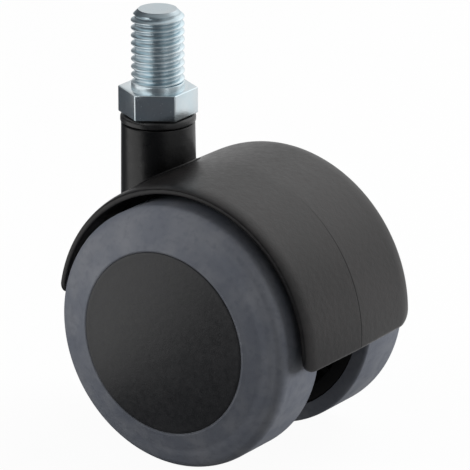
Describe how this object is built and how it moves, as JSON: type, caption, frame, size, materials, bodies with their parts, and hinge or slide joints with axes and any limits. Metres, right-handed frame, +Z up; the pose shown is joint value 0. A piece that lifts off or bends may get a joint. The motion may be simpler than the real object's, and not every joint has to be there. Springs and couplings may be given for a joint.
{
  "type": "swivel caster",
  "caption": "Twin-wheel chair caster: arched black hood over soft grey-treaded wheels, with a threaded hex stem that the hood swivels on.",
  "frame": {"origin": "on the swivel axis, in the plane of the hexagon's upper face, where the caster seats against the leg", "axes": "+Z up along the threaded stem, +X from the stem back to the axle, Y along the axle with the left wheel at -Y"},
  "size_m": [0.0569, 0.0474, 0.0805],
  "materials": {
    "stem_zinc": "bright blue-white zinc plate",
    "fastener_steel": "plain turned steel",
    "spring_steel": "dark oiled spring steel",
    "bush_plastic": "smooth moulded acetal",
    "hood_plastic": "satin black moulded nylon",
    "core_plastic": "plain black moulded nylon",
    "cap_plastic": "fine satin black",
    "tread_rubber": "matt soft grey tread"
  },
  "bodies": {
    "stem": {"threaded_stem": "stem_zinc", "stem_washer": "fastener_steel", "stem_circlip": "spring_steel"},
    "housing": {"hood_housing": "hood_plastic", "swivel_bush": "bush_plastic", "axle": "fastener_steel", "left_inner_washer": "fastener_steel", "left_outer_washer": "fastener_steel", "left_axle_clip": "spring_steel", "right_inner_washer": "fastener_steel", "right_outer_washer": "fastener_steel", "right_axle_clip": "spring_steel"},
    "left_wheel": {"left_tyre": "tread_rubber", "left_wheel_core": "core_plastic", "left_hub_bush": "bush_plastic", "left_hub_cap": "cap_plastic"},
    "right_wheel": {"right_tyre": "tread_rubber", "right_wheel_core": "core_plastic", "right_hub_bush": "bush_plastic", "right_hub_cap": "cap_plastic"}
  },
  "joints": [
    {"name": "swivel", "type": "hinge", "parent": "stem", "child": "housing", "pos_m": [0, 0, 0], "axis": [0, 0, 1], "continuous": true},
    {"name": "left_wheel_roll", "type": "hinge", "parent": "housing", "child": "left_wheel", "pos_m": [0.017, -0.0158, -0.0405], "axis": [0, 1, 0], "continuous": true},
    {"name": "right_wheel_roll", "type": "hinge", "parent": "housing", "child": "right_wheel", "pos_m": [0.017, 0.0158, -0.0405], "axis": [0, 1, 0], "continuous": true}
  ]
}
